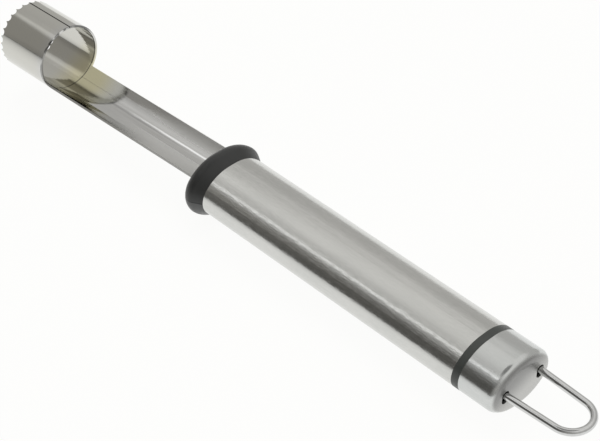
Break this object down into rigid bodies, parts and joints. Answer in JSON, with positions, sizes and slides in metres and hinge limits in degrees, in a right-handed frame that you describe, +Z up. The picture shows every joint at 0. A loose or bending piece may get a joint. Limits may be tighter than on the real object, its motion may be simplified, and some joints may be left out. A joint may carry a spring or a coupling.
{
  "type": "apple corer",
  "caption": "Hand corer: a serrated rolled steel ring on an open trough blade, in an oval brushed steel handle with black collar and wire hanging loop.",
  "frame": {"origin": "centre of the resting footprint: half way along the length, on the middle plane, at the level of the surface it lies on", "axes": "+X from the cutting ring towards the hanging loop, +Z up with the trough open upwards"},
  "size_m": [0.2142, 0.0256, 0.0272],
  "materials": {
    "blade_steel": "smooth rolled stainless sheet, semi-bright",
    "handle_steel": "finely brushed along the handle",
    "black_plastic": "satin moulded",
    "wire_steel": "polished drawn wire"
  },
  "bodies": {
    "root": {"corer_blade": "blade_steel", "front_collar": "black_plastic", "handle_tube": "handle_steel", "rear_plug": "black_plastic", "end_cap": "handle_steel", "hanging_loop": "wire_steel"}
  },
  "joints": []
}
